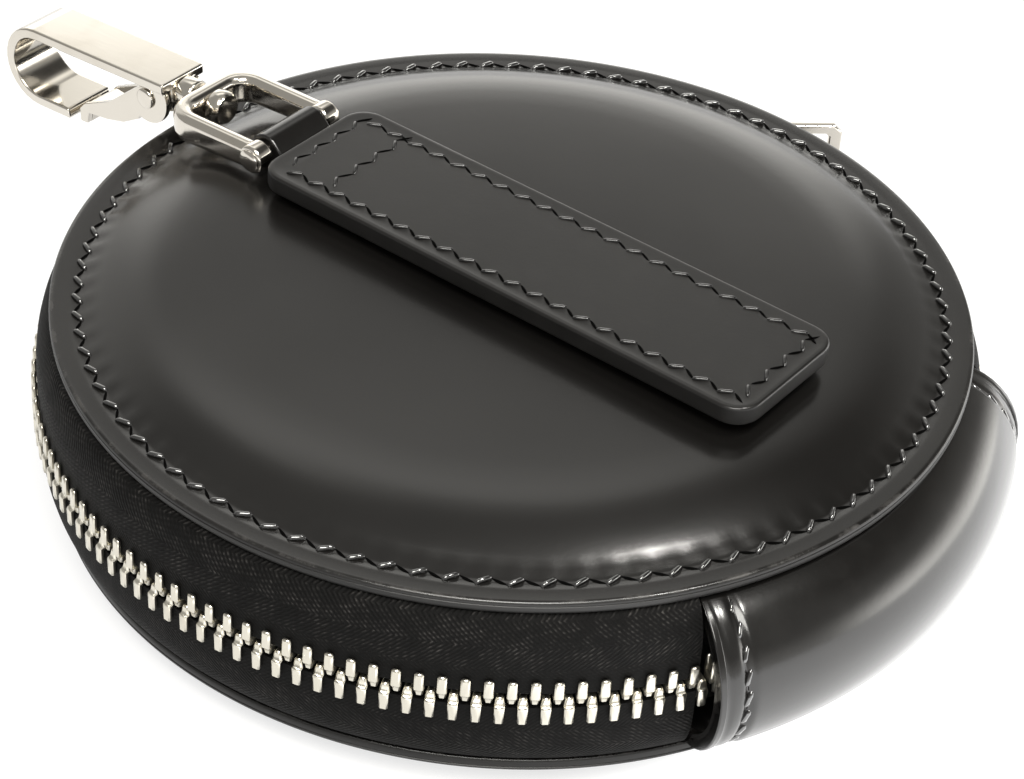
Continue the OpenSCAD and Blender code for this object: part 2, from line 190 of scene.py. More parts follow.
class Finish(Board):
    """A material, with the place on the piece ready to use in millimetres."""

    def __init__(self, name, **constants):
        self.material = bpy.data.materials.new(name)
        self.material.use_nodes = True
        self.tree = self.material.node_tree
        self.shader = self.tree.nodes["Principled BSDF"]
        for socket, value in constants.items():
            self.shader.inputs[socket.replace("_", " ")].default_value = value
        place = self.node("ShaderNodeTexCoord", {}, {}, "Object")
        self.place = place
        parts = self.node("ShaderNodeSeparateXYZ", {}, {0: place}, "X")
        node = parts.socket.node
        self.x = parts * 1000
        self.y = Wire(self, node.outputs["Y"]) * 1000
        self.z = Wire(self, node.outputs["Z"]) * 1000

    def cells(self, scale, detail=2, rough=0.5, stretch=(1, 1, 1), kind="Fac"):
        """Cloudy noise; scale is how many features fit in a metre."""
        sized = self.node("ShaderNodeMapping", {}, {"Vector": self.place, "Scale": stretch})
        inputs = {"Vector": sized, "Scale": scale, "Detail": detail, "Roughness": rough}
        return self.node("ShaderNodeTexNoise", {}, inputs, kind)

    def blend(self, amount, first, second):
        """One colour turning into another as the amount goes from 0 to 1."""
        settings = {"data_type": "RGBA"}
        inputs = {"Factor": amount, 6: first, 7: second}
        return self.node("ShaderNodeMix", settings, inputs, 2)

    def into(self, **links):
        """Feeds the shader's own sockets."""
        for socket, value in links.items():
            self.feed(self.shader.inputs[socket.replace("_", " ")], value)

    def relief(self, height, depth_mm):
        """Lights the surface as if it rose by depth where the height is 1."""
        inputs = {"Height": height, "Distance": depth_mm * MM, "Strength": 1.0}
        self.into(Normal=self.node("ShaderNodeBump", {}, inputs))


def set_stops(ramp, stops):
    """Gives a colour ramp its stops, each a place from 0 to 1 and a colour."""
    while len(ramp.elements) < len(stops):
        ramp.elements.new(0.5)
    for element, (place, colour) in zip(ramp.elements, stops):
        element.position = place
        element.color = colour


def grey(value, warm=0.0):
    """A grey colour, a little redder where warm is above 0."""
    return (value * (1 + warm), value, value * (1 - warm), 1)


# %% [markdown]
# ## The leather
# Brushed calf is waxed and polished until it is nearly a mirror, over a very fine grain. In the
# shader that is a dark base, a roughness that wanders slightly, and a clear coat. The grain is
# shallow: a hundredth of a millimetre is enough to break up a highlight. Where hands touch an edge
# the black rubs a little lighter and duller; on the panels' rounded outer rim that lighter band is
# partly wear and partly a painted highlight.

# %% Polished leather
def polished_leather(name, haze, worn=None, shine=0.42):
    """Black waxed calf. worn is made from the finish's own place sockets; where it is high the leather turns lighter,
    partly as wear and partly as a painted highlight.
    """
    made = Finish(name, Coat_Roughness=0.14, Specular_IOR_Level=shine)
    cloud = made.cells(45, 3)
    grain = made.cells(2600, 2, 0.6)
    pores = made.cells(900, 3, 0.7)
    rub_and_highlight = made.cells(300, 4, 0.7).ramp(0.45, 0.75)
    edge = worn(made) * rub_and_highlight if worn else rub_and_highlight * 0.05
    base = made.blend(cloud, grey(0.003, 0.06), grey(0.008, 0.08))
    # On the panels this lighter grey is partly rubbed wear and partly a painted highlight along the rounded rim edge.
    made.into(Base_Color=made.blend(edge, base, grey(0.045, 0.05)))
    made.into(Roughness=haze + cloud * 0.08 + edge * 0.2)
    made.into(Coat_Weight=0.2 - edge * 0.15)
    made.relief(grain * 0.35 + pores * 0.65, 0.012)
    return made.material


def radius_of(made):
    """Distance from the case's axis, in millimetres."""
    return (made.x * made.x + made.y * made.y).math("SQRT")


RIM_STITCH_R = 47.0
# The lighter band at the rim's outer edge is partly wear and partly a painted highlight.
panel_leather = polished_leather("panel_leather", 0.19, worn=lambda m: radius_of(m).near(49.8, 0.5))
smooth_leather = polished_leather("smooth_leather", 0.17)
strap_finish = polished_leather("strap_finish", 0.29, shine=0.3)
print("leather finishes:", panel_leather.name, smooth_leather.name)

# %% [markdown]
# ## Painted edges, thread, cloth and metal
# A cut edge is sealed with thick black paint, duller than the leather. The thread is waxed, so
# each stitch catches a small bright light. The zip's tape is a herringbone: its ribs slant one way
# in one band along the tape and the other way in the next, and fade in the plainer band that holds
# the teeth. Nickel plate is a warm mirror with hairline scratches.

# %% Edge paint and thread
def edge_paint():
    made = Finish("edge_paint", Coat_Roughness=0.35, Specular_IOR_Level=0.3)
    lumps = made.cells(350, 3, 0.6)
    made.into(Base_Color=made.blend(lumps, grey(0.004, 0.05), grey(0.011, 0.05)))
    made.into(Roughness=0.36 + lumps * 0.12, Coat_Weight=0.1)
    made.relief(lumps, 0.03)
    return made.material


def waxed_thread(name, shine, coat):
    made = Finish(name, Coat_Roughness=0.07, Specular_IOR_Level=shine)
    fibre = made.cells(4200, 2, 0.6)
    made.into(Base_Color=made.blend(fibre, grey(0.006), grey(0.016)))
    made.into(Roughness=0.1 + fibre * 0.08, Coat_Weight=coat)
    made.relief(fibre, 0.008)
    return made.material


def shadow():
    """The inside of a slit: no shine at all."""
    made = Finish("slit_shadow", Specular_IOR_Level=0.0, Coat_Weight=0.0)
    dust = made.cells(1500, 2)
    made.into(Base_Color=made.blend(dust, grey(0.001), grey(0.004)), Roughness=0.9 + dust * 0.08)
    return made.material


edge_black = edge_paint()
thread_black = waxed_thread("waxed_thread", 1.0, 1.0)
thread_dull = waxed_thread("strap_thread", 0.4, 0.2)
slit_black = shadow()

# %% Zip tape
CASE_MID_Z = 14.7
TAPE_R = 51.6


def herringbone():
    """Woven black tape whose ribs slant one way, then the other, in bands along it."""
    made = Finish("zip_tape", Specular_IOR_Level=0.12)
    turn = made.y.math("ARCTAN2", made.x) * TAPE_R
    up = abs(made.z - CASE_MID_Z)
    fold = abs(((up + 1.2) / 5.2).wrapped() - 0.5) * 5.2
    rib = ((turn + fold * 1.15) * (2 * math.pi / 0.58)).sine() * 0.5 + 0.5
    pick = ((up - turn * 0.25) * (2 * math.pi / 0.5)).sine() * 0.5 + 0.5
    fuzz = made.cells(1700, 3, 0.7)
    plain = 1 - up.ramp(2.6, 5.0) * 0.75
    weave = rib * (0.4 + pick * 0.6) * (1 - plain * 0.7)
    worn = made.cells(420, 3, 0.7).ramp(0.38, 0.66)
    light = weave * weave * fuzz.ramp(0.32, 0.7) * worn * 1.4
    made.into(Base_Color=made.blend(light, grey(0.0012, 0.1), grey(0.052, 0.06)))
    made.into(Roughness=0.62 + fuzz * 0.2)
    made.relief(weave * 0.8 + fuzz * 0.3, 0.11)
    return made.material


def twill(name, dark, light, pitch=0.7):
    """Plain diagonal cloth for the linings."""
    made = Finish(name, Sheen_Weight=0.2, Sheen_Roughness=0.5)
    slant = made.x + made.y + made.z
    rib = (slant * (2 * math.pi / pitch)).sine() * 0.5 + 0.5
    pick = ((made.x - made.y) * (2 * math.pi / (pitch * 0.6))).sine() * 0.5 + 0.5
    fuzz = made.cells(1800, 3, 0.7)
    weave = rib * 0.7 + pick * 0.3
    made.into(Base_Color=made.blend(weave * fuzz * 1.6, grey(dark), grey(light)))
    made.into(Roughness=0.8 + fuzz * 0.1)
    made.relief(weave * 0.7 + fuzz * 0.4, 0.08)
    return made.material


tape_black = herringbone()
lining_black = twill("lining_twill", 0.008, 0.045)
felt_grey = twill("padding_felt", 0.09, 0.22, 2.2)

# %% Nickel plate
def nickel_plate(name, rough, colour=(0.83, 0.79, 0.73, 1)):
    """Polished warm plate with hairline scratches and a few dull patches."""
    made = Finish(name, Metallic=1.0)
    hair = made.cells(900, 3, 0.7, stretch=(0.12, 1.6, 1.6))
    patch = made.cells(120, 3)
    dull = patch.ramp(0.5, 0.8)
    dark = (colour[0] * 0.86, colour[1] * 0.84, colour[2] * 0.8, 1)
    made.into(Base_Color=made.blend(dull * 0.6, colour, dark))
    made.into(Roughness=rough + dull * 0.08 + hair * 0.06)
    made.relief(hair, 0.003)
    return made.material


nickel = nickel_plate("nickel_plate", 0.10, (0.66, 0.625, 0.565, 1))
tooth_nickel = nickel_plate("tooth_nickel", 0.26, (0.66, 0.63, 0.55, 1))
spring_steel = nickel_plate("spring_wire", 0.25, (0.56, 0.57, 0.58, 1))
print("finishes so far:", len(bpy.data.materials))

# %% [markdown]
# ## Modelling helpers
# Every new shape here starts as one point that is extruded from corner to corner, as with a pen.
# A closed line is then spun round an axis, like turned wood, or pushed straight, like a piece cut
# from sheet. Bevels come last, because no real edge is a knife.

# %% Select and edit
def alone(piece):
    """Leaves one piece selected and active."""
    bpy.ops.object.select_all(action="DESELECT")
    piece.select_set(True)
    bpy.context.view_layer.objects.active = piece


def pick(piece, test, kind="VERT"):
    """Opens a piece in edit mode with only the parts that pass the test selected."""
    alone(piece)
    kinds = (kind == "VERT", kind == "EDGE", kind == "FACE")
    bpy.context.tool_settings.mesh_select_mode = kinds
    mesh = piece.data
    for part in (*mesh.vertices, *mesh.edges, *mesh.polygons):
        part.select = False
    if kind == "VERT":
        for point in mesh.vertices:
            point.select = test(point.co)
    else:
        for face in mesh.polygons:
            face.select = test(face)
    bpy.ops.object.mode_set(mode="EDIT")


def leave_edit():
    bpy.ops.object.mode_set(mode="OBJECT")


def drawn(name, line):
    """Draws a line of points in millimetres; the piece is left open in edit mode."""
    bpy.ops.object.select_all(action="DESELECT")
    bpy.ops.mesh.primitive_plane_add(size=MM, location=(0, 0, 0))
    piece = bpy.context.object
    piece.name = name
    bpy.context.tool_settings.mesh_select_mode = (True, False, False)
    bpy.ops.object.mode_set(mode="EDIT")
    bpy.ops.mesh.select_all(action="SELECT")
    bpy.ops.mesh.merge(type="CENTER")
    points = [Vector(p) * MM for p in line]
    bpy.ops.transform.translate(value=points[0])
    for here, there in zip(points, points[1:]):
        step = {"value": there - here}
        bpy.ops.mesh.extrude_region_move(TRANSFORM_OT_translate=step)
    bpy.ops.mesh.select_all(action="SELECT")
    return piece


def tidy_normals():
    """Merges doubled points and turns every face outwards."""
    bpy.ops.mesh.select_all(action="SELECT")
    bpy.ops.mesh.remove_doubles(threshold=2e-6)
    bpy.ops.mesh.normals_make_consistent(inside=False)


def spun(name, section, start=0, end=360, steps=128):
    """Spins a closed section of (radius, height) round the Z axis, between two angles."""
    a = math.radians(start)
    line = [(r * math.cos(a), r * math.sin(a), z) for r, z in [*section, section[0]]]
    piece = drawn(name, line)
    bpy.ops.mesh.remove_doubles(threshold=2e-6)
    sweep = math.radians(end - start)
    bpy.ops.mesh.spin(steps=steps, angle=-sweep, center=(0, 0, 0), axis=(0, 0, 1))
    bpy.ops.mesh.select_all(action="SELECT")
    bpy.ops.mesh.remove_doubles(threshold=2e-6)
    if end - start < 360:
        bpy.ops.mesh.select_all(action="SELECT")
        bpy.ops.mesh.fill_holes(sides=0)
    tidy_normals()
    leave_edit()
    return piece


def cut_out(name, outline, push):
    """A plate with a closed outline, pushed straight by a vector in millimetres."""
    piece = drawn(name, [*outline, outline[0]])
    bpy.ops.mesh.remove_doubles(threshold=2e-6)
    bpy.ops.mesh.edge_face_add()
    step = {"value": Vector(push) * MM}
    bpy.ops.mesh.extrude_region_move(TRANSFORM_OT_translate=step)
    tidy_normals()
    leave_edit()
    return piece


# %% Finish a piece
def eased(piece, width_mm, segments=3, angle=40):
    """Rounds every edge sharper than the angle, and shades the flats flat."""
    alone(piece)
    bevel = piece.modifiers.new("Edges", "BEVEL")
    bevel.width = width_mm * MM
    bevel.segments = segments
    bevel.limit_method = "ANGLE"
    bevel.angle_limit = math.radians(angle)
    bpy.ops.object.modifier_apply(modifier=bevel.name)
    smooth(piece)
    return piece


def smooth(piece, angle=40):
    """Smooth shading that keeps the flats flat."""
    alone(piece)
    bpy.ops.object.shade_smooth_by_angle(angle=math.radians(angle))
    weights = piece.modifiers.new("Flats", "WEIGHTED_NORMAL")
    weights.keep_sharp = True
    bpy.ops.object.modifier_apply(modifier=weights.name)


def joined(name, parts):
    """Joins several meshes into one piece."""
    alone(parts[0])
    for part in parts:
        part.select_set(True)
    bpy.ops.object.join()
    piece = bpy.context.object
    piece.name = name
    return piece


def copy_of(piece, matrix):
    """A copy with its own mesh, moved by a matrix."""
    twin = piece.copy()
    twin.data = piece.data.copy()
    twin.data.transform(matrix)
    bpy.context.scene.collection.objects.link(twin)
    return twin


def settled(piece, material, body, slot, *nodes):
    """Gives a piece its finish and its body, and hides the CAD nodes that it stands for; slot is not used."""
    if material:
        piece.data.materials.clear()
        piece.data.materials.append(material)
    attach(piece, body)
    if nodes:
        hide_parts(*nodes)
    box = [round(v / MM, 1) for v in piece.dimensions]
    print(piece.name, "mm", box, "faces", len(piece.data.polygons))
    return piece


# %% [markdown]
# ## The padded panels
# Each panel is a disc of leather moulded over felt: a flat rim, a crease where the stitches pull
# it down, a steep shoulder and an almost flat crown. Turning a profile gives all of that at once.
# Every stitch also drags the leather in a little, so the shoulder gets a shallow pucker per stitch.

# %% A panel's profile
PANEL_R = 50.0
LEATHER_T = 1.5
TOP_Z = 26.0
BASE_Z = 3.4
DOME_R = 46.0
SHOULDER_W, SHOULDER_H, CROWN_H = 12.0, 3.0, 0.4
RIM_STITCHES = 94


def rise(r, flat_r):
    """Height of a panel above its rim at a radius, as the CAD has it."""
    s = min(1, max(0, (DOME_R - r) / SHOULDER_W))
    t = min(1, max(0, (DOME_R - r) / (DOME_R - flat_r)))
    return SHOULDER_H * (1 - (1 - s) ** 2.3) + CROWN_H * math.sin(math.pi / 2 * t)


def panel_profile(flat_r):
    """Closed section of a panel, with heights measured from its rim's face."""
    radii = [0, 6, 12, 18, 24, 29, 33, 36, 38, 39.2, 40.2, 41, 41.8, 42.5, 43.2, 43.9, 44.5, 45.1]
    dome = [(r, rise(r, flat_r)) for r in radii]
    crease = [(45.6, 0.34), (46.05, 0.17), (46.4, 0.02), (46.7, -0.11), (47.0, -0.17), (47.35, -0.14)]
    rim = [(47.8, -0.05), (48.2, 0.0), (48.8, 0.0), (49.4, 0.0), (49.72, -0.03), (49.9, -0.14), (49.98, -0.32), (49.99, -0.44)]
    edge = [(49.86, -0.53), (49.99, -0.63), (50.0, -0.95), (49.97, -1.2), (49.85, -1.4), (49.6, -1.5)]
    inner = [(r, rise(r, flat_r) - LEATHER_T) for r in (46.2, 44.5, 42.5, 40.2, 38, 33, 24, 12, 0)]
    return dome + crease + rim + edge + inner


def puckered(piece):
    """Pulls the shoulder down beside each stitch."""
    for point in piece.data.vertices:
        x, y, z = point.co / MM
        r = math.hypot(x, y)
        if z > -LEATHER_T * 0.4 and 43.5 < r < 49:
            turn = math.atan2(y, x) * RIM_STITCHES
            pull = math.exp(-(((r - 46.0) / 0.9) ** 2)) * (0.5 + 0.5 * math.cos(turn))
            point.co.z -= 0.11 * MM * pull


def panel(name, flat_r, at_z, side):
    """A whole panel; side is 1 for the top and -1 for the bottom."""
    piece = spun(name, panel_profile(flat_r), steps=RIM_STITCHES * 4)
    puckered(piece)
    piece.data.transform(Matrix.Translation((0, 0, at_z * MM)) @ Matrix.Diagonal((1, 1, side, 1)))
    pick(piece, lambda co: True)
    tidy_normals()
    leave_edit()
    smooth(piece, 50)
    piece.data.materials.append(panel_leather)
    piece.data.materials.append(edge_black)
    for face in piece.data.polygons:
        x, y, z = face.center / MM
        face.material_index = int(math.hypot(x, y) > 49.85)
    return piece


top_panel = panel("top_panel_leather", 12, TOP_Z, 1)
settled(top_panel, None, "lid", "panel_leather", "top_panel")
bottom_panel = panel("bottom_panel_leather", 25, BASE_Z, -1)
settled(bottom_panel, None, "base", "panel_leather", "bottom_panel")

# %% [markdown]
# ## Stitches
# A saddle stitch lies at a slant, and the awl's slits lean the other way: the thread crosses from
# the end of one slit to the start of the next. One stitch is a short six-sided rod with its ends
# pinched and bent down into the leather. One slit is a thin dull sliver, flush with the leather, as
# dark as the hole that it stands for. Each is modelled once and copied along every seam.

# %% One stitch
def one_stitch(length, thick):
    """A short rod along X whose ends dip below the surface."""
    bpy.ops.object.select_all(action="DESELECT")
    turn = (0, math.pi / 2, 0)
    bpy.ops.mesh.primitive_cylinder_add(
        vertices=6, radius=thick / 2 * MM, depth=length * MM * 0.5, rotation=turn
    )
    piece = bpy.context.object
    bpy.ops.object.transform_apply(location=False, rotation=True, scale=False)
    for side in (-1, 1):
        pick(piece, lambda face: face.normal.x * side > 0.9, "FACE")
        for share, drop, size in ((0.14, 0.10, 0.86), (0.11, 0.32, 0.5)):
            step = {"value": (side * share * length * MM, 0, -drop * thick * MM)}
            bpy.ops.mesh.extrude_region_move(TRANSFORM_OT_translate=step)
            bpy.ops.transform.resize(value=(1, size, size))
        leave_edit()
    alone(piece)
    bpy.ops.object.shade_smooth()
    return piece


def one_slit(length, width):
    """A flat lens along X, a hair proud of the leather."""
    half = [(0.5, 0), (0.3, 0.34), (0.1, 0.5), (-0.1, 0.5), (-0.3, 0.34), (-0.5, 0)]
    other = [(-0.3, -0.34), (-0.1, -0.5), (0.1, -0.5), (0.3, -0.34)]
    outline = [(x * length, y * width, -0.06) for x, y in half + other]
    return cut_out("slit", outline, (0, 0, 0.085))


def seam(name, pattern, places):
    """Copies a pattern to each place: (point in mm, direction, up vector)."""
    copies = []
    for point, ahead, up in places:
        up = Vector(up).normalized()
        ahead = Vector(ahead)
        ahead = (ahead - up * ahead.dot(up)).normalized()
        across = up.cross(ahead)
        turn = Matrix((ahead, across, up)).transposed().to_4x4()
        copies.append(copy_of(pattern, Matrix.Translation(Vector(point) * MM) @ turn))
    return joined(name, copies)


stitch = one_stitch(2.05, 0.58)
slit = one_slit(2.0, 0.27)
STITCH_LEAN = math.radians(33)
SLIT_LEAN = math.radians(-29)


def rim_places(z, side, shift, slant):
    """Places round a rim, each slanted inwards as the angle grows."""
    places = []
    for i in range(RIM_STITCHES):
        a = 2 * math.pi * (i + shift) / RIM_STITCHES
        lean = a + math.pi / 2 + slant
        point = (RIM_STITCH_R * math.cos(a), RIM_STITCH_R * math.sin(a), z)
        places.append((point, (math.cos(lean), math.sin(lean), 0), (0, 0, side)))
    return places


def rim_seam(name, z, side, body):
    """The thread and the slits of one rim."""
    thread = seam(name + "_stitches", stitch, rim_places(z + 0.02 * side, side, 0.5, STITCH_LEAN))
    settled(thread, thread_black, body, "panel_leather")
    holes = seam(name + "_slits", slit, rim_places(z - 0.12 * side, side, 0, SLIT_LEAN))
    settled(holes, slit_black, body, "panel_leather")


rim_seam("top_rim", TOP_Z, 1, "lid")
rim_seam("bottom_rim", BASE_Z, -1, "base")

# %% [markdown]
# ## Padding and linings
# Felt discs fill the domes, and a disc of twill closes each one. They are never seen while the zip
# is shut, but the lid opens, so they are made as what they are.

# %% Padding
def filler_profile(flat_r):
    radii = [0, 12, 24, 33, 38, 40.5, 42.5, 43.6]
    over = [(r, rise(r, flat_r) - LEATHER_T - 0.4) for r in radii]
    return over + [(44.2, -2.0), (44.3, -2.3), (44.0, -2.58), (38, -2.6), (20, -2.6), (0, -2.6)]


def filler(name, flat_r, at_z, side):
    piece = spun(name, filler_profile(flat_r), steps=72)
    piece.data.transform(Matrix.Translation((0, 0, at_z * MM)) @ Matrix.Diagonal((1, 1, side, 1)))
    pick(piece, lambda co: True)
    tidy_normals()
    leave_edit()
    smooth(piece, 50)
    return piece


settled(filler("top_padding", 12, TOP_Z, 1), felt_grey, "lid", "foam", "top_filler")
settled(filler("bottom_padding", 25, BASE_Z, -1), felt_grey, "base", "foam", "bottom_filler")

# %% Lining discs
LINING_R = 46.3


def lining(name, at_z, side):
    """A thin twill disc with a rounded edge and a slight slack."""
    slack = [(r, 0.35 * math.sin(r * 0.55) * (r / 46) * 0.3) for r in (0, 8, 16, 24, 32, 38, 42, 45)]
    outer = [(r, z - 0.02) for r, z in slack] + [(46.1, -0.03), (LINING_R, -0.2), (46.1, -0.37)]
    under = [(r, z - 0.38) for r, z in reversed(slack)]
    piece = spun(name, outer + under, steps=96)
    piece.data.transform(Matrix.Translation((0, 0, at_z * MM)) @ Matrix.Diagonal((1, 1, side, 1)))
    pick(piece, lambda co: True)
    tidy_normals()
    leave_edit()
    smooth(piece, 50)
    return piece


settled(lining("top_lining_cloth", 23.33, 1), lining_black, "lid", "lining", "top_lining")
settled(lining("bottom_lining_cloth", 6.07, -1), lining_black, "base", "lining", "bottom_lining")

# %% [markdown]
# ## The zip
# Two tapes are sewn under the rims and bulge out past them. Each carries a row of metal teeth that
# grip its edge and lean into the other row. One side of the slider is already open, behind the
# purse, where the tapes stand a little apart.

# %% Tapes
TAPE_T = 0.6
TAPE_OPEN_UNTIL = 98.2


def tape_section(edge):
    """Closed section of the upper tape, with heights measured from the zip's middle."""
    bend_r, straight, sewn = 49.1, 4.3, 9.75
    outer, inner = [(44.8, sewn), (47, sewn)], [(44.8, sewn - TAPE_T), (47, sewn - TAPE_T)]
    for i in range(9):
        t = math.pi / 2 * (1 - i / 8)
        outer.append((bend_r + (TAPE_R - bend_r) * math.cos(t), straight + (sewn - straight) * math.sin(t)))
        inner.append(
            (
                bend_r + (TAPE_R - TAPE_T - bend_r) * math.cos(t),
                straight + (sewn - TAPE_T - straight) * math.sin(t),
            )
        )
    for z in (3.4, 2.6, 1.8, edge):
        outer.append((TAPE_R, z))
        inner.append((TAPE_R - TAPE_T, z))
    return outer + inner[::-1]


def tape(name, side):
    """A tape; its edge is drawn back where the zip is open."""
    piece = spun(name, tape_section(0.95), 30.8, 329.2, steps=240)
    for point in piece.data.vertices:
        x, y, z = point.co / MM
        turn = math.degrees(math.atan2(y, x)) % 360
        if z < 3:
            back = min(1, max(0, (TAPE_OPEN_UNTIL + 3 - turn) / 6))
            point.co.z += MM * 1.3 * back * min(1, (3 - z) / 1.2)
    piece.data.transform(
        Matrix.Translation((0, 0, CASE_MID_Z * MM)) @ Matrix.Diagonal((1, 1, side, 1))
    )
    pick(piece, lambda co: True)
    tidy_normals()
    leave_edit()
    smooth(piece, 50)
    return piece


upper_tape = settled(tape("upper_zip_tape", 1), tape_black, "lid", "zip_tape", "zip_tape_upper")
lower_tape = settled(tape("lower_zip_tape", -1), tape_black, "base", "zip_tape", "zip_tape_lower")

# %% Teeth
TOOTH_STEP = 2.5
FIRST_TOOTH = 36
TEETH = 119


def one_tooth():
    """A metal tooth at angle 0: a leg that straddles the tape's edge, and a nose set back from it."""
    r = 51.5
    body = [(r - 1.15, 0, -0.42), (r + 0.3, 0, -0.42), (r + 0.36, 0, 0.45), (r + 0.76, 0, 0.6)]
    body += [(r + 0.74, 0, 2.75)]
    body += [(r + 0.2, 0, 2.75), (r + 0.18, 0, 1.0), (r - 0.6, 0, 1.0), (r - 0.62, 0, 2.75)]
    body += [(r - 1.1, 0, 2.75), (r - 1.18, 0, 0.9)]
    piece = cut_out("tooth", [(x, y - 0.5, z) for x, y, z in body], (0, 1.0, 0))
    for test, narrow in ((lambda co: co.z < 0, 0.72), (lambda co: co.z > 2 * MM, 0.92)):
        pick(piece, test)
        bpy.ops.transform.resize(value=(0.97, narrow, 1))
        leave_edit()
    return eased(piece, 0.17, 1, 50)


def opened(angle):
    """How far a tooth stands back from the middle, in millimetres."""
    return 1.3 * min(1, max(0, (98 - angle) / 5))


def tooth_row(name, pattern, shift, side):
    copies = []
    for i in range(TEETH):
        angle = FIRST_TOOTH + shift + i * TOOTH_STEP
        turn = Matrix.Rotation(math.radians(angle), 4, "Z")
        up = Matrix.Translation((0, 0, (CASE_MID_Z + side * opened(angle)) * MM))
        copies.append(copy_of(pattern, up @ turn @ Matrix.Diagonal((1, 1, side, 1))))
    row = joined(name, copies)
    pick(row, lambda co: True)
    bpy.ops.mesh.normals_make_consistent(inside=False)
    leave_edit()
    return row


tooth = one_tooth()
upper_teeth = tooth_row("upper_zip_teeth", tooth, 0, 1)
settled(upper_teeth, tooth_nickel, "lid", "nickel", "zip_teeth_upper")
lower_teeth = tooth_row("lower_zip_teeth", tooth, TOOTH_STEP / 2, -1)
settled(lower_teeth, tooth_nickel, "base", "nickel", "zip_teeth_lower")

# %% [markdown]
# ## The gusset
# The gusset is the hinge of the purse: a bulging strip of leather sewn under both rims. Its two
# ends are turned over into a thick bead and stitched a few millimetres in, which covers the raw
# ends of the zip. It bends as the lid opens; here it is given its finish but is attached to neither half.

# %% Gusset section
GUSSET_R, GUSSET_BULGE, SEWN = 46.5, 9.9, 9.75
GUSSET_HALF = 30.5
CREASE_IN = 3.3


def gusset_point(t, inset):
    """A point of the section at t degrees from the middle, fuller in its lower half."""
    c, s = math.cos(math.radians(t)), math.sin(math.radians(t))
    fill = 0.75 if t < 0 else 1
    return GUSSET_R + (GUSSET_BULGE - inset) * max(c, 0) ** fill, (SEWN - inset) * s


def gusset_section(thick):
    turns = [-90 + 7.5 * i for i in range(25)]
    outer = [(44.8, -SEWN)] + [gusset_point(t, 0) for t in turns] + [(44.8, SEWN)]
    inner = [(44.8, -SEWN + thick)] + [gusset_point(t, thick) for t in turns] + [(44.8, SEWN - thick)]
    return outer + inner[::-1]


def gusset():
    """The strip, with a bead at each end and a crease along each row of stitches."""
    piece = spun("gusset_skin", gusset_section(1.0), -GUSSET_HALF, GUSSET_HALF, steps=244)
    for point in piece.data.vertices:
        x, y, z = point.co / MM
        r = math.hypot(x, y)
        turn = math.degrees(math.atan2(y, x))
        end = GUSSET_HALF - abs(turn)
        outside = r > GUSSET_R + 1.5
        lift = 0
        if outside:
            lift = -0.12 * math.exp(-(((end - 1.15) / 0.35) ** 2))
            lift -= 0.42 * math.exp(-(((end - CREASE_IN) / 0.5) ** 2))
            lift -= 0.16 * (0.5 - 0.5 * math.tanh((end - CREASE_IN) / 0.3))
        point.co.x += MM * lift * math.cos(math.radians(turn))
        point.co.y += MM * lift * math.sin(math.radians(turn))
        point.co.z += CASE_MID_Z * MM
    smooth(piece, 60)
    return piece


gusset_skin = gusset()


def end_bead(name, side):
    """The rolled edge at one end of the gusset: a cord under leather that follows the section."""
    start = side * GUSSET_HALF - (0.8 if side > 0 else 0.0)
    piece = spun(name, gusset_section(1.7), start, start + 0.8, steps=4)
    piece.data.transform(Matrix.Translation((0, 0, CASE_MID_Z * MM)))
    return eased(piece, 0.34, 3, 50)


beads = [end_bead("bead_a", 1), end_bead("bead_b", -1)]
gusset_skin = joined("gusset_skin", [gusset_skin, *beads])

# %% Gusset stitches
def gusset_places(side, shift, slant, sunk):
    """A row along the section, in the crease a few degrees in from one end."""
    places = []
    angle = math.radians(side * (GUSSET_HALF - CREASE_IN))
    out = Vector((math.cos(angle), math.sin(angle), 0))
    along = Vector((0, 0, 1)).cross(out)
    for i in range(10):
        t = -70 + 15 * (i + shift)
        here, ahead = gusset_point(t, sunk), gusset_point(t + 1, sunk)
        step = (out * (ahead[0] - here[0]) + Vector((0, 0, ahead[1] - here[1]))).normalized()
        up = along.cross(step)
        up = up if up.dot(out) > 0 else -up
        lean = step + along * slant
        places.append((out * here[0] + Vector((0, 0, here[1] + CASE_MID_Z)), lean, up))
    return places


gusset_stitches = seam("gusset_stitches", stitch, gusset_places(-1, 0, 0.4, 0.42) + gusset_places(1, 0, 0.4, 0.42))
gusset_slits = seam("gusset_slits", slit, gusset_places(-1, 0.5, -0.5, 0.52) + gusset_places(1, 0.5, -0.5, 0.52))


def settled_bend(piece, material, slot, *nodes):
    """A piece of the gusset, which bends from the base to the lid; here it gets its finish, hides its CAD nodes and
    has its place baked in, on neither body.
    """
    piece.data.materials.clear()
    piece.data.materials.append(material)
    if nodes:
        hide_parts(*nodes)
    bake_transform(piece)
    print(piece.name, "faces", len(piece.data.polygons))


settled_bend(gusset_skin, smooth_leather, "panel_leather", "gusset_leather")
settled_bend(gusset_stitches, thread_black, "panel_leather")
settled_bend(gusset_slits, slit_black, "panel_leather")

# %% Gusset lining
def lining_strip():
    turns = [-84 + 7 * i for i in range(25)]
    outer = [gusset_point(t, 1.07) for t in turns]
    inner = [gusset_point(t, 1.42) for t in turns]
    piece = spun("gusset_lining_cloth", outer + inner[::-1], -23.3, 23.3, steps=48)
    piece.data.transform(Matrix.Translation((0, 0, CASE_MID_Z * MM)))
    smooth(piece, 60)
    return piece


settled_bend(lining_strip(), lining_black, "lining", "gusset_lining")

# %% [markdown]
# ## The strap
# Two layers of leather are glued, sewn round their border and painted along the cut edge. Only the
# short left end is sewn to the lid, up to the cross row, so the rest lifts like a flap. One mesh
# has extra cuts across it at that row, and is attached to neither the lid nor the flap.

# %% Strap shape
STRAP_L, STRAP_R, STRAP_HALF_W = -29.6, 35.5, 8.9
STRAP_TOP, STRAP_T = 33.0, 2.2
STRAP_SEAM = -21.5


